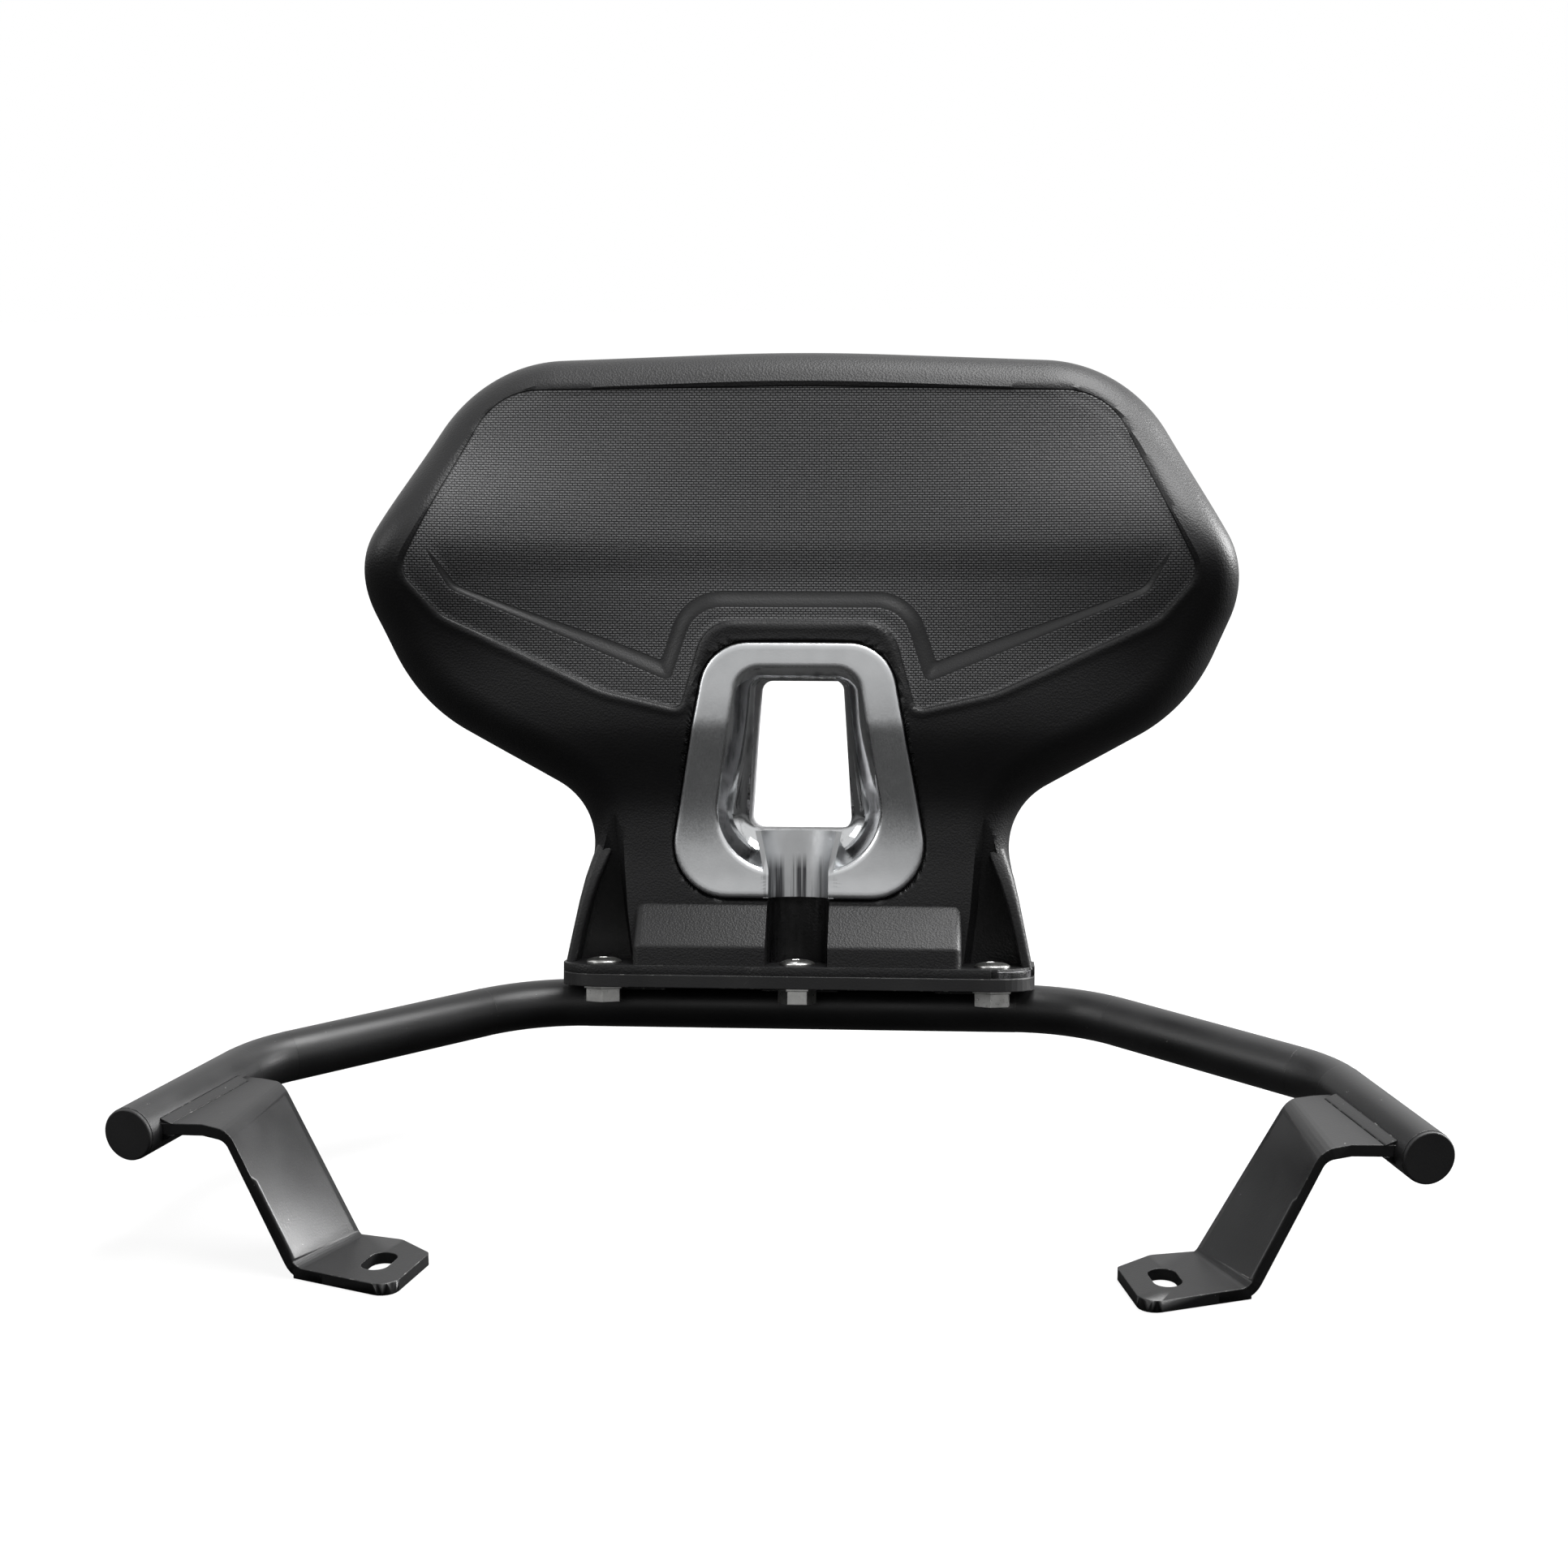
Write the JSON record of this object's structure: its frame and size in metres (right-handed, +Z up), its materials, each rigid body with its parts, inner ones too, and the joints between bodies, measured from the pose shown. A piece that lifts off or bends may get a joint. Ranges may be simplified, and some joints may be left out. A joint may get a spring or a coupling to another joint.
{
  "type": "sissy_bar",
  "caption": "Scooter sissy bar: moulded passenger back pad with a trimmed window, bolted to a bent tube with two slotted feet",
  "frame": {"origin": "midway between the centres of the two foot slots, level with the undersides of the feet", "axes": "+X to the object's right seen from the passenger, along its length; +Y to the rear of the vehicle; +Z up, square to the feet"},
  "size_m": [0.464, 0.2408, 0.3024],
  "materials": {
    "powder_coat": "satin",
    "pad_skin": "matte",
    "bezel_chrome": "satin",
    "liner_grey": "satin",
    "zinc": "satin",
    "bare_steel": "matte"
  },
  "bodies": {
    "root": {"tube": "powder_coat", "end_cap_left": "powder_coat", "end_cap_right": "powder_coat", "bracket_left": "powder_coat", "bracket_right": "powder_coat", "weld_bracket_left": "powder_coat", "weld_bracket_right": "powder_coat", "base_plate": "powder_coat", "weld_plate_front": "powder_coat", "weld_plate_rear": "powder_coat", "foot_plate": "bare_steel", "upright": "bare_steel", "weld_upright": "bare_steel", "pad_flange": "pad_skin", "pad": "pad_skin", "bezel": "bezel_chrome", "tunnel_liner": "liner_grey", "screw_left": "zinc", "screw_centre": "zinc", "screw_right": "zinc", "nut_left": "zinc", "nut_centre": "zinc", "nut_right": "zinc"}
  },
  "joints": []
}
